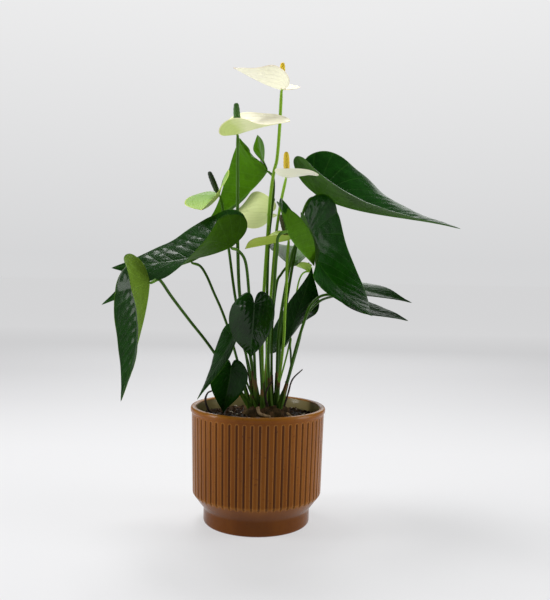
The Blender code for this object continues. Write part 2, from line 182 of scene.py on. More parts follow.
def piece(name, points, faces, finish, node, slot, attributes=None, sharp=60, weld=0.0):
    """One closed mesh with its finish and attributes, which rides on the plant and stands for a node.

    Points nearer than weld are joined, so that sheets which end on one line share it.
    """
    mesh = bpy.data.meshes.new(name)
    mesh.from_pydata(np.asarray(points, float).tolist(), [], faces)
    for key, values in (attributes or {}).items():
        mesh.attributes.new(key, "FLOAT", "POINT").data.foreach_set("value", np.asarray(values, np.float32))
    if weld:
        joined = bmesh.new()
        joined.from_mesh(mesh)
        bmesh.ops.remove_doubles(joined, verts=joined.verts, dist=weld)
        bmesh.ops.dissolve_degenerate(joined, edges=joined.edges, dist=weld)
        joined.to_mesh(mesh)
        joined.free()
    mesh.shade_smooth()
    mesh.set_sharp_from_angle(angle=radians(sharp))
    mesh.materials.append(finish.material)
    made = bpy.data.objects.new(name, mesh)
    bpy.context.scene.collection.objects.link(made)
    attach(made, "root")
    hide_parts(node)
    return made


def pot_profile():
    """Radius and height from the bottom's middle up the outside, over the rim and down to the floor.

    Straight runs between corner points, each with its own number of rows, corners eased by short runs.
    """
    body_top = POT_HEIGHT - RIM_HEIGHT
    bore = RIM_RADIUS - WALL
    lower_bore = BODY_LOWER_RADIUS - WALL

    def wall(height):
        share = (height - SHOULDER_HEIGHT) / (body_top - SHOULDER_HEIGHT)
        return BODY_LOWER_RADIUS + (RIM_RADIUS - RIM_STEP - BODY_LOWER_RADIUS) * share

    slope = (BODY_LOWER_RADIUS - FOOT_RADIUS) / (SHOULDER_HEIGHT - FOOT_HEIGHT)
    corners = [
        (0.004, 0.0011, 2), (FOOT_RADIUS - 0.0075, 0.0011, 1), (FOOT_RADIUS - 0.0065, 0.0, 1),
        (FOOT_RADIUS - 0.0030, 0.0, 1), (FOOT_RADIUS - 0.0012, 0.0004, 1), (FOOT_RADIUS - 0.0003, 0.0013, 1),
        (FOOT_RADIUS, 0.0026, 5), (FOOT_RADIUS, FOOT_HEIGHT - 0.0011, 1),
        (FOOT_RADIUS + 0.0002, FOOT_HEIGHT - 0.0003, 1), (FOOT_RADIUS + 0.0009, FOOT_HEIGHT + 0.0009, 10),
        (BODY_LOWER_RADIUS - 0.0022 * slope, SHOULDER_HEIGHT - 0.0022, 1),
        (BODY_LOWER_RADIUS - 0.0008, SHOULDER_HEIGHT - 0.0009, 1),
        (BODY_LOWER_RADIUS - 0.00025, SHOULDER_HEIGHT, 1),
        (wall(SHOULDER_HEIGHT + 0.0012), SHOULDER_HEIGHT + 0.0012, 8),
        (wall(0.0400), 0.0400, 8), (wall(0.1085), 0.1085, 8), (wall(body_top - 0.0004), body_top - 0.0004, 1),
        (RIM_RADIUS - RIM_STEP + 0.0002, body_top, 1), (RIM_RADIUS - 0.0004, body_top + 0.0003, 1),
        (RIM_RADIUS, body_top + 0.0010, 3), (RIM_RADIUS, POT_HEIGHT - 0.0020, 1),
        (RIM_RADIUS - 0.0005, POT_HEIGHT - 0.0008, 1), (RIM_RADIUS - 0.0015, POT_HEIGHT - 0.0001, 1),
        (RIM_RADIUS - 0.0031, POT_HEIGHT, 1), (bore + 0.0016, POT_HEIGHT - 0.0001, 1),
        (bore + 0.0005, POT_HEIGHT - 0.0008, 1), (bore, POT_HEIGHT - 0.0020, 10),
        (lower_bore, SHOULDER_HEIGHT, 3),
        (FOOT_RADIUS - WALL, FLOOR + 0.004, 2), (FOOT_RADIUS - WALL - 0.004, FLOOR, 3), (0.004, FLOOR, 0)]
    runs = [np.linspace(a[:2], b[:2], a[2], endpoint=False) for a, b in zip(corners, corners[1:])]
    return np.vstack(runs + [np.array([corners[-1][:2]])])


glaze = Finish("amber glaze", roughness=0.2, coat_roughness=0.08, specular=0.10)
streak = glaze.noise(26, 4, 0.6, (1, 1, 0.25))
speck = glaze.noise(420, 2, 0.5)
inner = glaze.attribute("inside")
thin_glaze_and_highlight = glaze.attribute("thin_glaze_and_highlight")
pooled_glaze_and_shade = glaze.attribute("pooled_glaze_and_shade")
brown = ((streak - 0.35) * 2.2).clipped().mix((0.165, 0.046, 0.001), (0.255, 0.080, 0.003))
# Darker in the flutes, which is pooled glaze and painted shade, and on the band above the foot, which is
# painted shade.
brown = (pooled_glaze_and_shade * 0.68).mix(brown, (0.050, 0.009, 0.000))
# Lighter on the flute edges, the rim and the shoulder step: glaze breaking thin and painted highlight.
brown = (thin_glaze_and_highlight * 0.6).mix(brown, (0.400, 0.170, 0.025))
brown = ((speck - 0.62) * 4).clipped().mix(brown, (0.07, 0.02, 0.004))
olive_wall = ((streak - 0.3) * 2).clipped().mix((0.220, 0.175, 0.070), (0.340, 0.280, 0.130))
glaze.wear(Base_Color=inner.mix(brown, olive_wall), Roughness=0.20 + streak * 0.10,
           Coat_Weight=0.08 + streak * 0.08)
glaze.raise_by(streak * 0.7 + speck * 0.06, 0.0006, 0.6)

profile = pot_profile()
turns = FLUTES * STEPS_PER_FLUTE
angle = np.arange(turns) * 2 * pi / turns + pi / 2
radius, height = (profile[:, k][:, None] * np.ones((1, turns)) for k in (0, 1))
# A flute is the set of points within half a width of an upright line: depth falls off with that distance.
across = (np.abs((np.arange(turns) / STEPS_PER_FLUTE + 0.5) % 1 - 0.5) * 2 * pi / FLUTES)[None] * radius
beyond = np.clip(height - FLUTE_HIGH, 0, None) + np.clip(FLUTE_LOW - height, 0, None)
distance = np.hypot(across, beyond) / FLUTE_HALF_WIDTH
outer = (np.arange(len(profile)) < np.argmax(profile[:, 1] >= POT_HEIGHT))[:, None]
outer = outer & (profile[:, :1] > FOOT_RADIUS + 0.002)
depth = np.where(outer, np.clip(1 - distance**2.4, 0, 1), 0)
# Painted highlight lines, partly thin glaze, along the flute edges, round the rim and on the shoulder step.
thin_line = np.where(outer, np.exp(-((distance - 1.30) / 0.26)**2), 0)
rim_highlight = np.exp(-((height - POT_HEIGHT) / 0.0022)**2) * (radius > FOOT_RADIUS)
step_highlight = np.exp(-((height - SHOULDER_HEIGHT) / 0.0012)**2) * outer * 0.5
# Painted shade on the band above the foot.
foot_shade = 0.62 * np.clip((SHOULDER_HEIGHT - height) / 0.012, 0, 1)
radius = radius - FLUTE_DEPTH * depth
points = np.stack([radius * np.cos(angle), radius * np.sin(angle), height], -1).reshape(-1, 3)
count = len(points)
points = np.vstack([points, [[0, 0, 0.0011], [0, 0, FLOOR]]])
inside = (np.arange(len(profile)) > np.argmax(profile[:, 1] >= POT_HEIGHT) + 2)[:, None] * np.ones((1, turns))
faces = quads(len(profile), turns)
faces += fan(count, np.arange(turns), flip=True)
faces += fan(count + 1, np.arange(count - turns, count))
piece("fluted_pot", points, faces, glaze, "pot", "glaze", {
    "inside": np.r_[inside.ravel(), 0, 1], "pooled_glaze_and_shade": np.r_[np.maximum(depth, foot_shade).ravel(), 0, 0],
    "thin_glaze_and_highlight": np.r_[np.clip(thin_line + rim_highlight + step_highlight, 0, 1).ravel(), 0, 0]}, sharp=75)

# ==== the soil ======================================================================================
# Dark, damp, peaty potting mix that fills the pot to a finger's breadth below the rim, with bark chips
# and a few pale grains of perlite lying on top.  It is mounded slightly under the plant.
SOIL_EDGE = 0.1090
SOIL_MOUND = 0.0035
MOUND_RADIUS = 0.0375
SOIL_REACH = 0.0625
CHIPS = 760


def ripple(places, spacing, seed, waves=14):
    """Smooth random relief from -1 to 1: the mean of sine waves with random directions and phases."""
    chance = np.random.default_rng(seed)
    directions = chance.normal(size=(waves, 3))
    directions /= np.linalg.norm(directions, axis=1)[:, None]
    lengths = spacing * chance.uniform(0.6, 1.7, waves)
    phases = chance.uniform(0, 2 * pi, waves)
    turn = (places @ directions.T) * 2 * pi / lengths + phases
    return np.sin(turn).sum(-1) / np.sqrt(waves) / 1.6


def soil_height(x, y):
    """A flat mound that slopes to the wall, with lumps of two sizes."""
    out = np.hypot(x, y)
    slope = np.clip((SOIL_REACH - out) / (SOIL_REACH - MOUND_RADIUS), 0, 1)
    flat = np.stack([x, y, np.zeros_like(x)], -1)
    return (SOIL_EDGE - 0.0006 + (SOIL_MOUND - 0.0003) * slope
            + 0.0007 * ripple(flat, 0.009, 3) + 0.00045 * ripple(flat, 0.0032, 4))


earth = Finish("potting mix", roughness=0.9, specular=0.25)
clod = earth.noise(330, 6, 0.7)
damp = earth.noise(60, 3)
earth.wear(Base_Color=((clod - 0.40) * 3.2).clipped().mix((0.010, 0.006, 0.004), (0.060, 0.036, 0.020)),
           Roughness=0.62 + damp * 0.4)
earth.raise_by(clod + earth.cells(520) * 0.6, 0.0012)

rings, around = 52, 150
reach = np.linspace(0, 1, rings + 1)[1:, None] * SOIL_REACH
turn = np.arange(around)[None] * 2 * pi / around
x, y = reach * np.cos(turn), reach * np.sin(turn)
top = np.stack([x, y, soil_height(x, y)], -1).reshape(-1, 3)
low = np.stack([x[-1] * 0.985, y[-1] * 0.985, np.full(around, 0.060)], -1)
points = np.vstack([top, low, [[0, 0, float(soil_height(np.zeros(1), np.zeros(1))[0])], [0, 0, 0.060]]])
faces = quads(rings + 1, around, flip=True)
faces += fan(len(points) - 2, np.arange(around))
faces += fan(len(points) - 1, np.arange(rings * around, (rings + 1) * around), flip=True)
piece("soil_top", points, faces, earth, "soil", "soil")

bark_chip = Finish("bark and perlite", roughness=0.85, specular=0.12)
tone = bark_chip.attribute("tone")
fibre = bark_chip.noise(700, 4, 0.6, (1, 1, 0.3))
chip_colour = (tone * 1.6).clipped().mix((0.010, 0.006, 0.004), (0.085, 0.044, 0.019))
chip_colour = ((tone - 0.9) * 20).clipped().mix(chip_colour, (0.40, 0.35, 0.27))
bark_chip.wear(Base_Color=((fibre - 0.45) * 2).clipped().mix(chip_colour, (0.055, 0.030, 0.016)))
bark_chip.raise_by(fibre, 0.0006)

# A chip is a six-sided drum with pinched ends, stretched and turned at random.
chance = np.random.default_rng(11)
sides = np.arange(6) * pi / 3
drum = np.vstack([np.stack([np.cos(sides) * s, np.sin(sides) * s, np.full(6, z)], -1)
                  for s, z in ((0.62, -0.8), (1.0, -0.25), (0.93, 0.35), (0.55, 0.8))])
drum = np.vstack([drum, [[0, 0, -0.9], [0, 0, 0.9]]])
drum_faces = np.array(quads(4, 6))
drum_caps = np.array(fan(24, np.arange(6), flip=True) + fan(25, np.arange(18, 24)))
spots = np.sqrt(chance.uniform(0.0, 1, CHIPS)) * (SOIL_REACH - 0.0028)
bearing = chance.uniform(0, 2 * pi, CHIPS)
sizes = np.stack([chance.gamma(3.0, 0.42, CHIPS) + 0.5, chance.gamma(3.0, 0.30, CHIPS) + 0.4,
                  chance.uniform(0.35, 1.0, CHIPS)], -1) * MM
sizes = np.minimum(sizes, 0.0034)
shapes = drum[None] * (1 + 0.22 * chance.normal(size=(CHIPS, 26, 1))) * sizes[:, None]
axes = np.linalg.qr(chance.normal(size=(CHIPS, 3, 3)) + np.array([[0, 0, 0], [0, 0, 0], [0, 0, 2.2]]))[0]
axes *= np.sign(np.linalg.det(axes))[:, None, None]
middle = np.stack([spots * np.cos(bearing), spots * np.sin(bearing)], -1)
middle = np.column_stack([middle, soil_height(middle[:, 0], middle[:, 1]) + sizes[:, 2] * 0.35])
points = (np.einsum("nij,nkj->nki", axes, shapes) + middle[:, None]).reshape(-1, 3)
over = np.hypot(points[:, 0], points[:, 1]) / (SOIL_REACH + 0.0004)
points[:, :2] /= np.maximum(over, 1)[:, None]
shift = (np.arange(CHIPS) * 26)[:, None, None]
faces = (drum_faces[None] + shift).reshape(-1, 4).tolist() + (drum_caps[None] + shift).reshape(-1, 3).tolist()
tones = np.where(chance.random(CHIPS) < 0.03, 1.0, chance.beta(1.5, 2.6, CHIPS) * 0.85)
piece("bark_chips", points, faces, bark_chip, "soil", "soil", {"tone": np.repeat(tones, 26)}, sharp=35)

# ==== the crown =====================================================================================
# The short woody stem at soil level that every leaf and flower stalk grows from.  It is a rough brown
# knob, covered with the stubs of old sheaths and roots.
CROWN_CENTRE = (0.008, 0.001)
CROWN_RADIUS = 0.0235
CROWN_LOW = 0.1129
CROWN_TOP = 0.1219

husk = Finish("crown bark", roughness=0.85, specular=0.1)
grain = husk.noise(260, 5, 0.65, (1, 1, 0.4))
patch = husk.noise(70, 3)
husk.wear(Base_Color=((grain - 0.35) * 2.4).clipped().mix(
    ((patch - 0.4) * 4).clipped().mix((0.016, 0.011, 0.006), (0.040, 0.034, 0.010)), (0.120, 0.064, 0.026)))
husk.raise_by(grain, 0.0016)

rows, around = 30, 96
rise = np.linspace(0, pi / 2, rows)[:, None]
turn = np.arange(around)[None] * 2 * pi / around
spread = np.cos(rise)**0.55
lump = 1 + 0.10 * np.sin(5 * turn + 1) * np.sin(2 * rise) + 0.06 * np.cos(9 * turn + 3 * rise)
x = CROWN_CENTRE[0] + CROWN_RADIUS * spread * lump * np.cos(turn)
y = CROWN_CENTRE[1] + CROWN_RADIUS * spread * lump * np.sin(turn)
z = CROWN_LOW - 0.002 + (CROWN_TOP - CROWN_LOW + 0.003) * np.sin(rise)**0.8 * np.ones_like(turn)
knob = np.stack([x, y, z], -1)[:-1].reshape(-1, 3)
knob[:, 2] += 0.0012 * ripple(knob, 0.007, 8)
points = np.vstack([knob, [[*CROWN_CENTRE, CROWN_LOW - 0.003], [*CROWN_CENTRE, CROWN_TOP + 0.0008]]])
faces = quads(rows - 1, around)
faces += fan(len(points) - 2, np.arange(around), flip=True)
faces += fan(len(points) - 1, np.arange((rows - 2) * around, (rows - 1) * around))
piece("crown_knob", points, faces, husk, "crown", "dry_wood")

# ==== roots and dry stalks ==========================================================================
# Tan aerial roots that leave the crown and dive into the soil, a curled dead one at the rim, and the
# brown stalks of old flowers.  They are cork-skinned, wrinkled and thinner towards their ends.  The
# routes began as another program's output and were then changed.
ROOTS = {
    "root_1": dict(radii=(1.7, 1.3), route=[(0, -25, 14), (2, -29, 9), (7, -33, 7.5), (13, -35, 6.5)]),
    "root_2": dict(radii=(1.5, 0.8), route=[(-44, -19, 5), (-50, -21, 10), (-53, -24, 20), (-51, -22, 27),
                                            (-47, -20, 29)]),
    "root_3": dict(radii=(1.3, 1.0), route=[(30, -22, 8), (34, -25, 5.5), (38, -31, 4.5),
                                        (37, -37, 4.5)]),
    "twig_1": dict(radii=(1.1, 0.6), route=[(27, -18, 1.2), (31, -19, 16), (35, -17, 29), (45, -14, 39)]),
    "twig_2": dict(radii=(1.2, 0.8), route=[(10, -17.5, 1.2), (8, -21, 12), (10, -23, 21),
                                        (15, -25, 29)]),
}
ORIGIN = np.array((0, 0, SOIL_EDGE))


def even(line, count):
    """The line resampled to count points an equal distance apart."""
    travel = np.r_[0, np.cumsum(np.linalg.norm(np.diff(line, axis=0), axis=1))]
    at = np.linspace(0, travel[-1], count)
    return np.stack([np.interp(at, travel, line[:, k]) for k in range(line.shape[1])], 1)


def smooth_route(points, count):
    """Points evenly spaced along a smooth (Catmull-Rom) curve through the given points."""
    p = np.asarray(points, float)
    p = np.vstack([2 * p[0] - p[1], p, 2 * p[-1] - p[-2]])
    t = np.linspace(0, 1, 24, endpoint=False)[:, None]
    runs = [0.5 * (2 * b + (c - a) * t + (2 * a - 5 * b + 4 * c - d) * t**2 + (3 * b - a - 3 * c + d) * t**3)
            for a, b, c, d in zip(p, p[1:], p[2:], p[3:])]
    return even(np.vstack(runs + [p[-2][None]]), count)


def rod(route, radii, sides, relief=None):
    """A round rod: rings of the given radii square to the route, closed by a point at each end.

    A ring's two axes start from the direction least along the route and are carried from ring to ring.
    relief is an array of rows by sides that is added to the radius.
    """
    ahead = np.gradient(route, axis=0)
    ahead /= np.linalg.norm(ahead, axis=1)[:, None]
    seed = np.eye(3)[np.argmin(np.abs(ahead[0]))]
    side = np.zeros_like(route)
    for k, direction in enumerate(ahead):
        seed = seed - np.dot(seed, direction) * direction
        seed = side[k] = seed / np.linalg.norm(seed)
    other = np.cross(ahead, side)
    turn = np.arange(sides) * 2 * pi / sides
    reach = np.asarray(radii)[:, None] + (0 if relief is None else relief)
    ring = (route[:, None] + side[:, None] * (reach * np.cos(turn))[..., None]
            + other[:, None] * (reach * np.sin(turn))[..., None])
    points = np.vstack([ring.reshape(-1, 3), route[0] - ahead[0] * radii[0] * 0.2,
                        route[-1] + ahead[-1] * radii[-1] * 0.35])
    count = len(route) * sides
    faces = quads(len(route), sides)
    faces += fan(count, np.arange(sides), flip=True) + fan(count + 1, np.arange(count - sides, count))
    return points, faces


cork = Finish("root cork", roughness=0.8, specular=0.3)
rub = cork.noise(320, 4, 0.6)
dry = cork.attribute("dry")
cork_colour = ((rub - 0.35) * 2.5).clipped().mix((0.150, 0.088, 0.040), (0.430, 0.300, 0.160))
cork.wear(Base_Color=dry.mix(cork_colour, ((rub - 0.35) * 2.5).clipped().mix((0.012, 0.008, 0.006),
                                                                          (0.060, 0.034, 0.020))))
cork.raise_by(rub, 0.0008)

for name, root in ROOTS.items():
    corners = np.array(root["route"], float) * MM + ORIGIN
    if name.startswith("twig"):
        corners[:, 2] += CROWN_TOP - SOIL_EDGE
    line = smooth_route(corners, 44)
    radii = np.linspace(*root["radii"], 44) * MM
    wrinkle = 0.10 * radii[:, None] * ripple(
        np.stack(np.broadcast_arrays(line[:, 2][:, None], np.cos(np.arange(12) * pi / 6)[None] * 0.004,
                                     line[:, 0][:, None]), -1), 0.004, 21)
    points, faces = rod(line, radii, 12, wrinkle)
    dryness = np.full(len(points), 1.0 if name in ("root_2", "twig_1", "twig_2") else 0.0)
    piece(name + "_cork", points, faces, cork, name, "dry_wood", {"dry": dryness})

# ==== leaves ========================================================================================
# Glossy heart-shaped leaves, leathery and about a millimetre thick, folded along the midrib and
# puckered between sunken veins.  The upper side is a deep green; the underside is paler, with raised
# veins, and is given a painted glow (emission) for the light let through it.
# A blade hangs on its midrib, a Bezier curve through four handles in mm.  face is the way its upper
# side looks at the base.  Each half has (half width in mm, fold up from flat at the lobes and at the
# tip, and how far it curls back down, in degrees).  twist turns the tip, lift bends the lobes up.
# The values in LEAVES and SPATHES were fitted by another program and rounded, not chosen by hand.
LEAF_MARGIN = [(0, 0), (-.10, .05), (-.20, .16), (-.26, .38), (-.235, .64), (-.13, .86), (.04, .985),
               (.20, .985), (.38, .85), (.56, .61), (.73, .34), (.87, .13), (1, 0)]
LEAVES = {
    "leaf_01": dict(midrib=[(4, 38, 260), (-9, 88, 246), (-41, 108, 224), (-69, 112, 207)],
         face=(-1.0, -0.2, 0.2),
         left=(49, 120, 60, -35), right=(45, 35, 10, 20), twist=-85, lift=85),
    "leaf_02": dict(midrib=[(-28, -51, 175), (-59, -53, 159), (-101, -53, 158), (-146, -41, 152)],
         face=(-0.4, -0.3, 0.8),
         left=(54, 55, 0, 5), right=(55, 45, -15, 25), twist=45, lift=25),
    "leaf_03": dict(midrib=[(-74, 19, 161), (-107, 15, 150), (-137, 13, 132), (-168, 13, 113)],
         face=(-0.3, -0.1, 0.9),
         left=(39, 30, 0, 5), right=(39, 25, 15, 10), twist=30, lift=20),
    "leaf_04": dict(midrib=[(-102, -81, 139), (-101, -91, 112), (-112, -100, 74), (-120, -114, 33)],
         face=(-1.0, -0.2, 0.1),
         left=(47, 45, 0, 20), right=(47, 50, 20, 10), twist=15, lift=30),
    "leaf_05": dict(midrib=[(62, 75, 239), (106, 60, 214), (162, 39, 216), (206, -3, 199)],
         face=(0.3, -0.4, 0.8),
         left=(76, 55, 0, 45), right=(75, 55, 15, 25), twist=5, lift=20),
    "leaf_06": dict(midrib=[(47, 14, 190), (60, 31, 154), (86, 29, 131), (113, -32, 109)],
         face=(0.9, -0.3, 0.2),
         left=(59, 40, -40, 5), right=(54, 25, 30, 0), twist=-60, lift=0),
    "leaf_07": dict(midrib=[(25, -88, 190), (30, -66, 178), (45, -45, 169), (55, -13, 158)],
         face=(-0.2, 0.5, 0.8),
         left=(37, 90, 80, -10), right=(33, 85, 50, -25), twist=-35, lift=20),
    "leaf_08": dict(midrib=[(32, 35, 80), (39, 53, 103), (52, 62, 131), (57, 74, 157)],
         face=(-0.8, -0.3, 0.5),
         left=(32, 25, -10, 15), right=(35, 25, -15, 15), twist=-40, lift=20),
    "leaf_09": dict(midrib=[(-4, -70, 120), (-4, -70, 103), (-6, -70, 86), (-7, -50, 67)],
         face=(0.0, -1.0, 0.0),
         left=(24, 30, 35, -5), right=(28, 45, 20, 0), twist=-10, lift=25),
    "leaf_10": dict(midrib=[(-26, -34, 85), (-32, -45, 71), (-45, -56, 50), (-57, -68, 28)],
         face=(-0.8, -0.3, 0.6),
         left=(28, 25, -5, 15), right=(28, 20, -10, 20), twist=0, lift=20),
    "leaf_11": dict(midrib=[(-27, -33, 55), (-28, -29, 40), (-33, -30, 24), (-35, -19, 6)],
         face=(0.1, -1.0, -0.2),
         left=(20, 35, 20, 0), right=(23, 40, 15, 5), twist=-5, lift=25),
    "leaf_12": dict(midrib=[(34, 56, 160), (33, 78, 170), (34, 103, 178), (37, 130, 183)],
         face=(0.0, -0.4, 0.9),
         left=(31, 45, 20, 10), right=(31, 45, 15, 10), twist=-10, lift=20),
    "leaf_13": dict(midrib=[(102, 89, 135), (123, 71, 131), (144, 57, 126), (167, 48, 120)],
         face=(0.0, -0.3, 1.0),
         left=(29, 10, 15, 25), right=(29, 10, 20, 20), twist=-5, lift=25),
    "leaf_14": dict(midrib=[(90, 29, 123), (110, 21, 111), (134, 12, 111), (154, -4, 103)],
         face=(0.4, -0.3, 0.9),
         left=(28, 20, 5, 25), right=(27, 20, 0, 15), twist=-10, lift=20),
}


WELD = 0.00002


def unit(vector):
    return vector / np.linalg.norm(vector)


def spine(shape, count=160):
    """The midrib: its points, and the tangent, side and upward directions along it.

    A Bezier curve; the side direction is carried along it without turning, then twisted evenly.
    """
    a, b, c, d = (np.array(p, float) * MM + ORIGIN for p in shape["midrib"])
    t = np.linspace(0, 1, 321)[:, None]
    line = even((1 - t)**3 * a + 3 * t * (1 - t)**2 * b + 3 * t * t * (1 - t) * c + t**3 * d, count)
    ahead = np.gradient(line, axis=0)
    ahead = ahead / np.linalg.norm(ahead, axis=1)[:, None]
    side = np.zeros_like(ahead)
    carried = unit(np.cross(ahead[0], np.array(shape["face"], float)))
    for k, direction in enumerate(ahead):
        carried = unit(carried - np.dot(carried, direction) * direction)
        side[k] = carried
    up = np.cross(side, ahead)
    turn = radians(shape["twist"]) * np.linspace(0, 1, count)[:, None]
    side = side * np.cos(turn) + up * np.sin(turn)
    return line, ahead, side, np.cross(side, ahead)


def vein_count(along, out, length, half_width, spacing, fan_angle):
    """How many veins lie between a point and the base, as a smooth number that is whole on a vein.

    Ahead of the first side vein: distance along the midrib less a forward slant.  Behind it, in the
    lobes: the angle round the base.
    """
    slant = 0.52 * out**1.12
    ahead = (along - slant) / spacing
    bend = np.arctan2(out * half_width, along * length) - np.arctan2(half_width, 0.52 * length)
    return np.where(ahead > 0, ahead, -np.clip(bend, 0, None) / radians(fan_angle))


def blade(name, shape, margin, finish, node, slot, rows=104, columns=26, thickness=0.8, relief=0.55,
          wave=1.0, spacing=0.118, seed=1):
    """A leaf or spathe as a closed shell.

    A point is set by its rank along the margin and its share of the way out from the midrib.  Out from
    the midrib a half rises at its fold angle and bends back through its curl angle, as a circular arc.
    Veins sink, the skin between them swells by the sine of the vein count, the margin waves.
    Where the midrib bends more tightly than a half is wide, that half passes through itself.
    """
    edge = smooth_route(margin, rows)
    line, ahead, side, up = spine(shape)
    length = np.linalg.norm(np.diff(line, axis=0), axis=1).sum()
    station = np.linspace(0, length, len(line))
    lobe = -min(p[0] for p in margin) * length
    rank = np.linspace(0, 1, rows)
    inner = np.clip((rank - 0.38) / 0.62, 0, 1)**1.05
    t = np.linspace(0, 1, columns)
    sheets, faces, marks = [], [], {"under": [], "vein": [], "mid": [], "edge": [], "along": []}
    for sign, (half_width, fold_lobe, fold_tip, curl) in ((-1, shape["left"]), (1, shape["right"])):
        share = inner[:, None] * (1 - t) + edge[:, :1] * t
        along = share * length
        reach = edge[:, 1:] * t
        out = reach * half_width * MM
        inside = np.clip(along, 0, length)
        at, forward, across, lift = (
            np.stack([np.interp(inside, station, v[:, k]) for k in range(3)], -1)
            for v in (line, ahead, side, up))
        behind = np.clip(-along, 0, None)
        bend = np.maximum(radians(shape["lift"]) * behind / lobe, 1e-6) if shape["lift"] > 0 else (
            np.minimum(radians(shape["lift"]) * behind / lobe, -1e-6))
        at = (at - forward * (behind * np.sin(bend) / bend)[..., None]
              + lift * (behind * (1 - np.cos(bend)) / bend)[..., None])
        lift = lift * np.cos(bend)[..., None] + forward * np.sin(bend)[..., None]
        x = np.clip((along / length + 0.26) / 1.26, 0, 1)
        fold = radians(fold_lobe) + radians(fold_tip - fold_lobe) * x * x * (3 - 2 * x)
        droop = radians(curl) * out / (half_width * MM)
        droop = np.where(np.abs(droop) > 1e-6, droop, 1e-6)
        level = out * (np.sin(fold) - np.sin(fold - droop)) / droop
        raised = out * (np.cos(fold - droop) - np.cos(fold)) / droop
        half = at + across * (sign * level)[..., None] + lift * raised[..., None]
        normal = np.cross(np.gradient(half, axis=0), np.gradient(half, axis=1)) * -sign
        size = np.linalg.norm(normal, axis=-1, keepdims=True)
        normal = np.where(size > 1e-12, normal / np.maximum(size, 1e-12), lift)
        shared = np.clip(1 - 8 * t, 0, 1)[None, :, None]
        normal = normal * (1 - shared) + lift * shared
        veins = vein_count(share, reach, length, half_width * MM, spacing, 24)
        swell = np.abs(np.sin(pi * veins))**0.8
        cross = 0.75 + 0.25 * np.cos(2 * pi * reach * 5 + 2.2 * ripple(half, 0.02, seed + 3))
        quiet = np.clip(np.minimum(t * 7, (1 - t) * 5), 0, 1) * np.clip(np.sin(pi * rank) * 4, 0, 1)[:, None]
        height = relief * MM * (swell * cross - 0.5 + 0.35 * ripple(half, 0.007, seed)) * quiet
        height = height + wave * MM * t**3 * np.sin(pi * rank)[:, None] * ripple(half, 0.034, seed + 7)
        for under in (0, 1):
            ends = np.clip(np.sin(pi * rank) * 12, 0, 1)[:, None]
            taper = np.clip((1 - t) * 14, 0, 1) * ends
            shell = (0.5 - under) * thickness * MM * np.sqrt(taper)
            rib = under * 0.55 * MM * np.exp(-(out / (1.1 * MM))**2) * np.clip((1 - share) * 3, 0, 1)
            grid = half + normal * (height + shell - rib)[..., None]
            first = sum(len(s) for s in sheets)
            sheets.append(grid.reshape(-1, 3))
            faces += quads(rows, columns, first, closed=False, flip=(sign < 0) == (under == 0))
            marks["under"].append(np.full(grid.shape[:2], float(under)).ravel())
            marks["vein"].append(veins.ravel() + 20)
            marks["mid"].append((out / MM).ravel())
            marks["edge"].append((t * np.ones((rows, 1))).ravel())
            marks["along"].append(share.ravel())
    piece(name, np.vstack(sheets), faces, finish, node, slot,
          {key: np.concatenate(parts) for key, parts in marks.items()}, sharp=80, weld=WELD)


def scaled(colour, share):
    return tuple(c * share for c in colour)


def between(first, second):
    """The colour half way between two."""
    return tuple(0.5 * a + 0.5 * b for a, b in zip(first, second))


def leaf_finish(name, top, under, vein, glow, gloss=0.14):
    """Upper side, underside and vein colours; the painted glow of the underside for light let through; waxy
    gloss on top.
    """
    leaf = Finish(name, roughness=0.3, coat_roughness=0.13, specular=0.03)
    below = leaf.attribute("under")
    count = leaf.attribute("vein").fraction()
    nearness = (((count - 0.5).size() * 2 - 0.86) / 0.14).clipped()
    middle = (1.3 - leaf.attribute("mid")).clipped()
    rim = ((leaf.attribute("edge") - 0.975) * 60).clipped()
    lines = (nearness * 0.55 + middle).clipped()
    mottle = leaf.noise(95, 4, 0.6)
    fine = leaf.noise(900, 3, 0.6)
    upper = ((mottle - 0.3) * 2.2).clipped().mix(scaled(top, 0.7), scaled(top, 1.35))
    upper = (lines * 0.5).mix(upper, vein)
    lower = ((mottle - 0.3) * 2.2).clipped().mix(scaled(under, 0.8), scaled(under, 1.2))
    lower = (lines * 0.6).mix(lower, tuple(min(1, c * 1.5 + 0.02) for c in under))
    body = below.mix(upper, lower)
    leaf.wear(Base_Color=(rim * 0.7).mix(body, between(vein, under)),
              Roughness=0.25 + below * 0.22 + fine * 0.12, Coat_Weight=(1 - below) * gloss)
    net = leaf.cells(620, "SMOOTH_F1")
    leaf.raise_by(fine * 0.35 + net * 0.9 + (1 - nearness) * 0.7, 0.0006, 0.55)
    # The underside's glow is painted light standing for light let through.
    if glow:
        leaf.wear(Emission_Color=below.mix((0, 0, 0), under))
        leaf.shader.inputs["Emission Strength"].default_value = glow
    return leaf
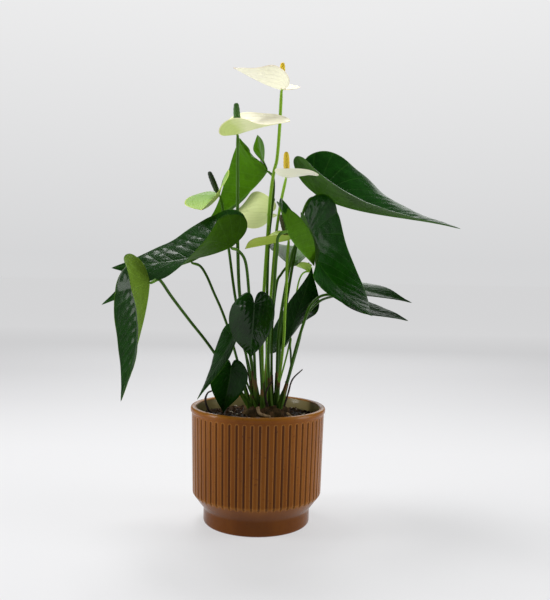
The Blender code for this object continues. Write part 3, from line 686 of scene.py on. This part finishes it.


# upper side, underside, veins, painted glow of the underside for light let through, and gloss where given
DEEP = (0.0050, 0.0330, 0.0015)
LEAF_TONES = {
    "leaf_01": ((0.030, 0.095, 0.003), (0.050, 0.150, 0.001), (0.110, 0.240, 0.006), 0.08, 0.06),
    "leaf_02": (DEEP, (0.030, 0.085, 0.002), (0.025, 0.075, 0.010), 0.05),
    "leaf_03": (DEEP, (0.060, 0.140, 0.015), (0.025, 0.075, 0.010), 0.05),
    "leaf_04": (DEEP, (0.110, 0.195, 0.018), (0.030, 0.080, 0.012), 0.06),
    "leaf_05": ((0.005, 0.040, 0.002), (0.040, 0.125, 0.004), (0.030, 0.105, 0.008), 0.0),
    "leaf_06": ((0.006, 0.046, 0.002), (0.040, 0.125, 0.004), (0.030, 0.115, 0.008), 0.0, 0.10),
    "leaf_07": (DEEP, (0.045, 0.125, 0.003), (0.050, 0.130, 0.025), 0.05),
    "leaf_08": (DEEP, (0.020, 0.060, 0.003), (0.020, 0.060, 0.008), 0.0),
    "leaf_09": (DEEP, (0.020, 0.060, 0.008), (0.020, 0.070, 0.008), 0.0, 0.5),
    "leaf_10": (DEEP, (0.060, 0.150, 0.012), (0.025, 0.075, 0.010), 0.03),
    "leaf_11": (DEEP, (0.012, 0.045, 0.004), (0.020, 0.060, 0.008), 0.0),
    "leaf_12": ((0.030, 0.105, 0.003), (0.045, 0.130, 0.004), (0.040, 0.115, 0.006), 0.05, 0.01),
    "leaf_13": ((0.010, 0.040, 0.006), (0.030, 0.070, 0.015), (0.030, 0.070, 0.020), 0.0),
    "leaf_14": ((0.010, 0.040, 0.006), (0.030, 0.070, 0.015), (0.030, 0.070, 0.020), 0.0),
}
for number, (name, shape) in enumerate(LEAVES.items()):
    size = (shape["left"][0] + shape["right"][0]) / 100
    blade(name + "_blade", shape, LEAF_MARGIN, leaf_finish(name + " skin", *LEAF_TONES[name]), name, "leaf",
          relief=0.26 + 0.16 * size, wave=0.4 + 0.6 * size, seed=number * 5 + 1)

# ==== spathes =======================================================================================
# The flower's one petal-like leaf: thinner and softer than a leaf, cream to pale green, with faint veins
# that run from the base to the tip.  spathe_3 was changed after the fit.
SPATHE_MARGIN = [(0, 0), (-.09, .08), (-.17, .26), (-.18, .50), (-.10, .76), (.06, .95), (.24, 1.0),
                 (.44, .90), (.63, .68), (.80, .40), (.92, .14), (1, 0)]
SPATHES = {
    "spathe_1": dict(midrib=[(19, 0, 339), (2, 15, 346), (-14, 11, 355), (-33, 14, 364)],
         face=(0.4, 0.0, 0.9),
         left=(26, 55, 15, 15), right=(28, 40, 25, 10), twist=0, lift=5),
    "spathe_2": dict(midrib=[(-26, -14, 290), (-8, -18, 296), (11, -20, 300), (27, -42, 298)],
         face=(-0.4, -0.3, 0.9),
         left=(30, 45, 0, 10), right=(30, 45, 10, 0), twist=-5, lift=-20),
    "spathe_3": dict(midrib=[(24, -34, 245), (32, -38, 245), (42, -22, 249), (52, -3, 253)],
         face=(0.0, -0.1, 1.0),
         left=(22, 30, 10, 10), right=(22, 30, 5, 10), twist=-30, lift=10),
    "spathe_4": dict(midrib=[(-47, 35, 233), (-51, 13, 223), (-56, -5, 216), (-60, -22, 212)],
         face=(-0.6, -0.2, 0.8),
         left=(34, 40, 20, 10), right=(34, 35, 25, 5), twist=5, lift=25),
    "spathe_5": dict(midrib=[(6, 88, 219), (-7, 91, 221), (-23, 99, 220), (-41, 116, 219)],
         face=(0.2, 0.6, 0.8),
         left=(24, 25, 25, 10), right=(24, 30, 20, 5), twist=-90, lift=20),
    "spathe_6": dict(midrib=[(28, -24, 184), (14, -32, 180), (-1, -32, 178), (-16, -17, 174)],
         face=(-0.2, -0.3, 0.9),
         left=(18, 25, 45, 10), right=(18, 30, 25, 5), twist=-25, lift=20),
    "spathe_7": dict(midrib=[(55, 90, 154), (51, 91, 152), (45, 82, 160), (40, 72, 162)],
         face=(-0.4, 0.2, 0.9),
         left=(10, 30, 30, 5), right=(10, 30, 10, 10), twist=-15, lift=25),
}


def spathe_finish(name, base, tip, back, point, reach, glow):
    """Colour near the base, towards the tip, on the back and at the very point; the painted glow for light
    let through.
    """
    skin = Finish(name, roughness=0.45, specular=0.2)
    along = skin.attribute("along")
    line = (skin.attribute("edge") * 5.5).fraction()
    ribs = (((line - 0.5).size() * 2 - 0.80) / 0.20).clipped()
    mottle = skin.noise(80, 3)
    fine = skin.noise(1100, 3)
    front = ((along + (mottle - 0.5) * 0.35) / reach).clipped().mix(base, tip)
    rear = ((along + (mottle - 0.5) * 0.3) / reach).clipped().mix(back, between(back, tip))
    body = skin.attribute("under").mix(front, rear)
    body = (ribs * 0.22).mix(body, scaled(back, 0.6))
    body = ((skin.attribute("edge") - 0.93) * 12).clipped().mix(body, between(tip, point))
    body = ((along - 0.93) * 16).clipped().mix(body, point)
    # The spathe glows in its own colour: painted light standing for light let through.
    skin.wear(Base_Color=body, Roughness=0.36 + fine * 0.2, Emission_Color=body)
    skin.shader.inputs["Emission Strength"].default_value = glow
    skin.raise_by((1 - ribs) * 0.8 + fine * 0.4, 0.0004, 0.5)
    return skin


CREAM = (0.90, 0.86, 0.68)
# Colours near the base, towards the tip, on the back and at the point; then how far the base colour
# reaches and how strongly the spathe glows, painted light for the light let through.
SPATHE_TONES = {
    "spathe_1": (CREAM, (0.92, 0.88, 0.76), (0.86, 0.84, 0.66), (0.60, 0.42, 0.28), 0.6, 0.14),
    "spathe_2": ((0.62, 0.70, 0.28), (0.92, 0.88, 0.68), (0.55, 0.64, 0.22), (0.70, 0.62, 0.30), 0.22, 0.26),
    "spathe_3": (CREAM, (0.92, 0.90, 0.78), (0.86, 0.85, 0.68), (0.75, 0.70, 0.42), 0.5, 0.16),
    "spathe_4": ((0.16, 0.32, 0.03), (0.26, 0.42, 0.05), (0.34, 0.46, 0.07), (0.60, 0.60, 0.12), 0.7, 0.02),
    "spathe_5": ((0.56, 0.64, 0.22), (0.76, 0.80, 0.42), (0.56, 0.64, 0.26), (0.50, 0.56, 0.16), 0.8, 0.14),
    "spathe_6": ((0.32, 0.50, 0.05), (0.58, 0.66, 0.10), (0.34, 0.52, 0.06), (0.24, 0.12, 0.03), 0.7, 0.08),
    "spathe_7": ((0.24, 0.42, 0.04), (0.36, 0.50, 0.07), (0.26, 0.44, 0.05), (0.30, 0.30, 0.06), 0.7, 0.03),
}
for number, (name, shape) in enumerate(SPATHES.items()):
    blade(name + "_petal", shape, SPATHE_MARGIN, spathe_finish(name + " skin", *SPATHE_TONES[name]), name,
          "cream_spathe" if name in ("spathe_1", "spathe_2", "spathe_3") else "green_spathe",
          rows=84, columns=20, thickness=0.6, relief=0.12, wave=0.9, seed=100 + number * 5)

# ==== spadices ======================================================================================
# The fleshy spike on the spathe's base, packed with tiny flowers in crossing spirals, on a thin foot.
# The tips began as another program's output and were then changed.
SPADICES = {
    "spadix_1": dict(radius=3.0, tip=(19, 2, 367)),
    "spadix_2": dict(radius=3.5, tip=(-27, -20, 320)),
    "spadix_3": dict(radius=3.1, tip=(24, -33, 270)),
    "spadix_4": dict(radius=3.1, tip=(-58, 32, 258)),
    "spadix_5": dict(radius=2.7, tip=(12, 106, 238)),
    "spadix_6": dict(radius=3.1, tip=(20, -20, 209)),
    "spadix_7": dict(radius=1.2, tip=(54, 93, 163)),
}
SPADIX_FOOT = 0.0022
BEAD = 0.00032              # how far a bead stands out


def beaded_finish(name, low, high, pit_shade):
    spike = Finish(name, roughness=0.55, specular=0.35, subsurface=0.15)
    along = spike.attribute("along")
    grainy = spike.noise(900, 3)
    body = ((along - 0.15) / 0.7).clipped().mix(low, high)
    body = ((grainy - 0.4) * 1.6).clipped().mix(body, tuple(min(1, c * 1.35) for c in high))
    # Darker in the pits between the beads: painted shade.
    spike.wear(Base_Color=(1 - spike.attribute("bead")).mix(body, pit_shade))
    spike.raise_by(grainy, 0.0003, 0.6)
    return spike


yellow = beaded_finish("ripe spadix", (0.82, 0.64, 0.07), (0.88, 0.64, 0.02), (0.62, 0.42, 0.02))
green = beaded_finish("green spadix", (0.10, 0.24, 0.02), (0.05, 0.17, 0.012), (0.02, 0.07, 0.008))
dark = beaded_finish("old spadix", (0.06, 0.11, 0.02), (0.018, 0.040, 0.010), (0.008, 0.016, 0.005))
dull = beaded_finish("brown spadix", (0.12, 0.15, 0.03), (0.10, 0.10, 0.03), (0.04, 0.04, 0.01))
SPIKE_TONES = {"spadix_1": yellow, "spadix_2": green, "spadix_3": yellow, "spadix_4": dark,
               "spadix_5": green, "spadix_6": dull, "spadix_7": green}

for name, spike in SPADICES.items():
    line, ahead, _, up = spine(SPATHES[name.replace("spadix", "spathe")])
    tip = np.array(spike["tip"]) * MM + ORIGIN
    start = line[0] + up[0] * SPADIX_FOOT * 0.2 + ahead[0] * MM
    rows, sides = 120, 48
    share = np.linspace(0, 1, rows)
    girth = np.interp(share, (0, 0.07, 0.12, 0.22, 0.5, 0.78, 0.92, 0.97, 0.99, 1.0),
                      (0.36, 0.36, 0.55, 0.90, 0.97, 0.90, 0.74, 0.56, 0.38, 0.12)) * spike["radius"] * MM
    tall = np.linalg.norm(tip - start)
    turn = np.arange(sides)[None] * 2 * pi / sides
    climb = (share * tall / (spike["radius"] * MM))[:, None]
    # Beads stand where two sets of spirals cross: the product of two cosines of slanted lines.
    bead = (0.5 + 0.5 * np.cos(8 * turn + 5.5 * climb)) * (0.5 + 0.5 * np.cos(8 * turn - 5.5 * climb))
    bead = bead**0.6 * np.clip((share - 0.10) * 12, 0, 1)[:, None]
    points, faces = rod(start + (tip - start) * share[:, None], girth, sides, BEAD * (bead - 0.3) * np.clip(
        girth / girth.max(), 0, 1)[:, None])
    piece(name + "_spike", points, faces, SPIKE_TONES[name], name,
          "yellow_spadix" if name in ("spadix_1", "spadix_3") else "green_spadix",
          {"bead": np.r_[bead.ravel(), 0, 1], "along": np.r_[np.repeat(share, sides), 0, 1]}, sharp=80)

# ==== stems =========================================================================================
# Smooth round green stalks.  A flower's stalk is straight and fresh green; a leaf's is darker, arches
# over at the top and ends in a short paler, slightly swollen joint below the blade.  The routes in STEMS
# were worked out by another program, not chosen by hand.
STEMS = {
    "peduncle_1": dict(radius=1.7, foot=(5, -3),
         route=[(3, -2, 80), (4, -3, 132), (7, -4, 192), (9, -3, 230), (12, -3, 254), (15, -2, 268),
                (17, -1, 299)]),
    "peduncle_2": dict(radius=1.7, foot=(0, 4),
         route=[(-10, -6, 70), (-20, -12, 122), (-23, -17, 173), (-24, -19, 223)]),
    "peduncle_3": dict(radius=1.5, foot=(9, 3),
         route=[(9, 3, 69), (11, 2, 122), (15, -4, 184), (18, -16, 210), (20, -24, 223), (22, -29, 233)]),
    "peduncle_4": dict(radius=1.5, foot=(-4, 10),
         route=[(-15, 13, 68), (-27, 21, 124), (-35, 28, 174), (-40, 31, 198), (-43, 33, 220)]),
    "peduncle_5": dict(radius=1.4, foot=(4, 13),
         route=[(8, 27, 67), (7, 47, 120), (7, 62, 153), (7, 76, 187), (8, 85, 207)]),
    "peduncle_6": dict(radius=1.5, foot=(18, -4),
         route=[(25, -10, 76), (26, -15, 113), (27, -19, 138), (27, -21, 161)]),
    "peduncle_7": dict(radius=1.0, foot=(16, 17),
         route=[(31, 46, 65), (36, 66, 97), (41, 80, 133), (45, 85, 147), (50, 87, 152)]),
    "petiole_01": dict(radius=1.4, foot=(9, 9),
         route=[(7, 17, 121), (8, 31, 186), (10, 37, 213), (12, 42, 240), (11, 45, 255)]),
    "petiole_02": dict(radius=1.5, foot=(-2, -6),
         route=[(-5, -13, 71), (-10, -22, 122), (-14, -33, 159), (-21, -40, 171)]),
    "petiole_03": dict(radius=1.4, foot=(-9, 4),
         route=[(-34, 14, 92), (-51, 19, 131), (-58, 21, 146), (-65, 22, 156)]),
    "petiole_04": dict(radius=1.5, foot=(-8, -9),
         route=[(-47, -16, 70), (-69, -37, 102), (-84, -55, 125), (-92, -66, 139), (-95, -72, 142)]),
    "petiole_05": dict(radius=1.6, foot=(19, 13),
         route=[(22, 18, 73), (30, 34, 132), (39, 53, 187), (45, 62, 217), (52, 67, 233)]),
    "petiole_06": dict(radius=1.6, foot=(19, 3),
         route=[(20, 7, 85), (27, 13, 138), (33, 16, 171), (39, 14, 185)]),
    "petiole_07": dict(radius=1.4, foot=(13, -11),
         route=[(10, -22, 72), (14, -40, 123), (16, -58, 161), (17, -66, 172), (17, -74, 182),
                (20, -80, 187)]),
    "petiole_08": dict(radius=1.1, foot=(21, 18), route=[(33, 27, 40), (34, 33, 60), (33, 35, 71)]),
    "petiole_09": dict(radius=1.2, foot=(5, -14), route=[(1, -30, 78), (-1, -48, 112), (-3, -54, 120)]),
    "petiole_10": dict(radius=1.1, foot=(-6, -2),
         route=[(-9, -12, 50), (-16, -24, 76), (-22, -30, 85)]),
    "petiole_11": dict(radius=1.1, foot=(-1, -12),
         route=[(-9, -14, 31), (-17, -23, 50), (-23, -28, 57)]),
    "petiole_12": dict(radius=1.4, foot=(14, 12),
         route=[(13, 24, 89), (17, 40, 137), (22, 46, 149), (29, 51, 158)]),
    "petiole_13": dict(radius=1.4, foot=(24, 9),
         route=[(33, 6, 46), (41, 5, 77), (45, 6, 95), (52, 11, 110), (64, 25, 121), (78, 50, 125),
                (91, 76, 126)]),
    "petiole_14": dict(radius=1.5, foot=(22, -11),
         route=[(31, -11, 44), (39, -6, 76), (49, 1, 108), (53, 5, 117), (61, 11, 125), (70, 18, 128),
                (80, 24, 127)]),
}
STEM_FOOT = CROWN_TOP - 0.002


def stem_finish(name, low, high, joint):
    stalk = Finish(name, roughness=0.36, specular=0.16)
    along = stalk.attribute("along")
    mottle = stalk.noise(140, 4, 0.6, (1, 1, 0.22))
    body = along.mix(low, high)
    body = ((mottle - 0.45) * 2).clipped().mix(body, scaled(low, 0.6))
    body = stalk.attribute("joint").mix(body, joint)
    stalk.wear(Base_Color=body, Roughness=0.30 + mottle * 0.2)
    stalk.raise_by(mottle, 0.0004, 0.5)
    return stalk


fresh = stem_finish("flower stalk", (0.120, 0.270, 0.012), (0.230, 0.430, 0.024), (0.30, 0.50, 0.05))
grassy = stem_finish("green flower stalk", (0.034, 0.095, 0.004), (0.060, 0.165, 0.008), (0.13, 0.28, 0.02))
leafy = stem_finish("leaf stalk", (0.030, 0.085, 0.004), (0.050, 0.135, 0.006), (0.110, 0.250, 0.018))
STALK_TONES = {"peduncle_1": fresh, "peduncle_3": fresh, "peduncle_5": fresh, "peduncle_2": grassy,
               "peduncle_4": grassy, "peduncle_6": fresh, "peduncle_7": fresh}

routes = {}
for name, stem in STEMS.items():
    family, number = name.split("_")
    carried = LEAVES["leaf_" + number] if family == "petiole" else SPATHES["spathe_" + number]
    line, ahead, _, up = spine(carried)
    route = [np.array((stem["foot"][0] * MM, stem["foot"][1] * MM, STEM_FOOT))]
    route += [np.array(p) * MM + ORIGIN for p in stem["route"]]
    route.append(line[0] - up[0] * 0.0021)
    rows, sides = 96, 14
    share = np.linspace(0, 1, rows)
    path = smooth_route(route, rows - 2)
    path = np.vstack([path, line[0] - up[0] * 0.0012, line[0] - up[0] * 0.0003])
    tall = np.linalg.norm(np.diff(path, axis=0), axis=1).sum()
    joint_length = 0.013 if family == "petiole" else 0.006
    joint = np.clip((share * tall - (tall - joint_length)) / (0.3 * joint_length), 0, 1)
    swell = 1 + 0.22 * np.clip(1 - share / 0.2, 0, 1) + 0.10 * joint * (family == "petiole")
    neck = 1 - 0.38 * np.clip((share - 0.955) / 0.045, 0, 1)
    radii = stem["radius"] * MM * swell * neck
    turn = np.arange(sides)[None] * 2 * pi / sides
    ribbed = 0.03 * radii[:, None] * np.cos(3 * turn + 4 * share[:, None])
    points, faces = rod(path, radii, sides, ribbed)
    routes[name] = (path, stem["radius"] * MM)
    piece(name + "_stalk", points, faces, STALK_TONES.get(name, leafy), name, "stem",
          {"along": np.r_[np.repeat(share, sides), 0, 1], "joint": np.r_[np.repeat(joint, sides), 0, 1]})

# ==== sheaths =======================================================================================
# The papery bases of the stalks: each wraps its stalk's foot like a split sleeve, green inside and
# drying to brown at its ragged top.
SHEATH_HEIGHTS = {"petiole_02": 30, "petiole_03": 34, "petiole_04": 26, "petiole_10": 30, "petiole_11": 14,
                  "petiole_01": 44, "petiole_06": 36, "petiole_12": 30, "petiole_05": 40, "petiole_14": 28,
                  "petiole_09": 22, "petiole_07": 34, "petiole_13": 24, "petiole_08": 22,
                  "peduncle_2": 40, "peduncle_4": 34, "peduncle_1": 26, "peduncle_6": 28}
sleeve = Finish("sheath", roughness=0.6, specular=0.12)
along = sleeve.attribute("along")
streaks = sleeve.noise(240, 4, 0.6, (1, 1, 0.12))
withered = ((along - 0.60 + (streaks - 0.5) * 0.9) * 4).clipped()
sleeve_colour = ((streaks - 0.4) * 2.5).clipped().mix((0.024, 0.066, 0.003), (0.085, 0.165, 0.010))
brown = ((streaks - 0.38) * 3).clipped().mix((0.040, 0.022, 0.007), (0.160, 0.090, 0.026))
sleeve.wear(Base_Color=withered.mix(sleeve_colour, brown))
sleeve.raise_by(streaks, 0.0007)

for name, high in SHEATH_HEIGHTS.items():
    path, radius = routes[name]
    travel = np.r_[0, np.cumsum(np.linalg.norm(np.diff(path, axis=0), axis=1))]
    rows, sides = 40, 24
    share = np.linspace(0, 1, rows)
    line = np.stack([np.interp(share * high * MM, travel, path[:, k]) for k in range(3)], -1)
    turn = np.arange(sides)[None] * 2 * pi / sides
    girth = radius * (2.15 - 1.02 * share**0.8)
    girth[-1] = radius * 0.7
    fluted = 0.10 * girth[:, None] * np.cos(5 * turn + 2 * share[:, None]) * (share < 0.98)[:, None]
    points, faces = rod(line, girth, sides, fluted)
    points[:rows * sides, 2] += np.where(np.repeat(share, sides) > 0.97, 0.0015 * np.cos(
        3 * np.tile(turn.ravel(), rows)), 0)
    piece("sheath_" + name, points, faces, sleeve, "crown", "stem",
          {"along": np.r_[np.repeat(share, sides), 0, 1]})

# ==== floor, light and camera =======================================================================
# A pale seamless table that glows as well as being lit from above, its glow painted light that dims
# behind the pot and brightens again far back, a pale surround, soft boxes above, behind and at both
# sides, and a camera a little above the rim.
FLOOR_GLOW = 0.545
CAMERA_PLACE = (0.0156, -0.769, 0.2595)
CAMERA_DIP = 2.12           # degrees below level
CAMERA_ROLL = 1.07
SURROUND = 0.16             # how much light the surround gives, next to how bright it looks

paper = bpy.data.materials.new("pale floor")
paper.use_nodes = True
for socket, value in (("Base Color", (0.24, 0.24, 0.245, 1)), ("Roughness", 0.8),
                      ("Emission Strength", FLOOR_GLOW)):
    paper.node_tree.nodes["Principled BSDF"].inputs[socket].default_value = value
bpy.ops.mesh.primitive_grid_add(x_subdivisions=4, y_subdivisions=4, size=40, location=(0, 0, -0.0003))
ground = Socket(paper.node_tree)
spot = ground.node("ShaderNodeTexCoord", output="Object")
depth_in = ground.node("ShaderNodeSeparateXYZ", {}, {0: spot}, "Y")
# Painted light: the floor's glow dims from 0.3 m behind the pot and brightens again from 0.7 m.
painted_floor_falloff = ((depth_in - 0.30) * 1.25).clipped().mix((1, 1, 1.01), (0.80, 0.80, 0.81))
painted_floor_falloff = ((depth_in - 0.7) * 0.55).clipped().mix(painted_floor_falloff, (1.12, 1.12, 1.13))
paper.node_tree.links.new(painted_floor_falloff.output, paper.node_tree.nodes["Principled BSDF"].inputs["Emission Color"])
floor = bpy.context.object
floor.name = "floor"
floor.data.materials.append(paper)

world = bpy.data.worlds.new("studio")
world.use_nodes = True
sky = Socket(world.node_tree)
toward = sky.node("ShaderNodeTexCoord", output="Generated")
upward = sky.node("ShaderNodeSeparateXYZ", {}, {0: toward}, "Z")
seen = ((upward - 0.02) * 3.2).clipped().mix((0.672, 0.674, 0.682), (0.84, 0.84, 0.845))
direct = sky.node("ShaderNodeLightPath", output="Is Camera Ray")
background = world.node_tree.nodes["Background"]
world.node_tree.links.new(direct.mix((SURROUND, SURROUND, SURROUND * 1.02), seen).output,
                          background.inputs["Color"])
bpy.context.scene.world = world
bpy.context.scene.view_settings.view_transform = "Standard"


def soft_box(name, where, aim, width, height, power, colour=(1, 1, 1)):
    lamp = bpy.data.lights.new(name, "AREA")
    lamp.shape, lamp.size, lamp.size_y, lamp.energy, lamp.color = "RECTANGLE", width, height, power, colour
    made = bpy.data.objects.new(name, lamp)
    bpy.context.scene.collection.objects.link(made)
    back = unit((np.array(where) - np.array(aim)).astype(float))
    right = unit(np.cross((0, 0, 1) if abs(back[2]) < 0.99 else (0, 1, 0), back))
    turned = np.stack([right, np.cross(back, right), back], 1)
    made.matrix_world = Matrix.Translation(where) @ Matrix(turned.tolist()).to_4x4()


soft_box("left box", (-1.15, -0.25, 0.45), (0, 0, 0.2), 0.30, 0.9, 9)
soft_box("right box", (1.15, -0.15, 0.45), (0, 0, 0.2), 0.5, 1.0, 9)
soft_box("top box", (-0.25, 0.35, 1.4), (0, 0, 0.2), 0.5, 0.4, 15)
soft_box("back box", (0.1, 1.5, 0.8), (0, 0, 0.25), 1.4, 0.8, 6)

lens = bpy.data.cameras.new("camera")
lens.lens = 44.4
lens.sensor_width = 36
lens.clip_start, lens.clip_end = 0.05, 60
camera = bpy.data.objects.new("camera", lens)
bpy.context.scene.collection.objects.link(camera)
camera.matrix_world = (Matrix.Translation(CAMERA_PLACE)
                       @ Matrix.Rotation(radians(90 - CAMERA_DIP), 4, "X")
                       @ Matrix.Rotation(radians(CAMERA_ROLL), 4, "Z"))
bpy.context.scene.camera = camera
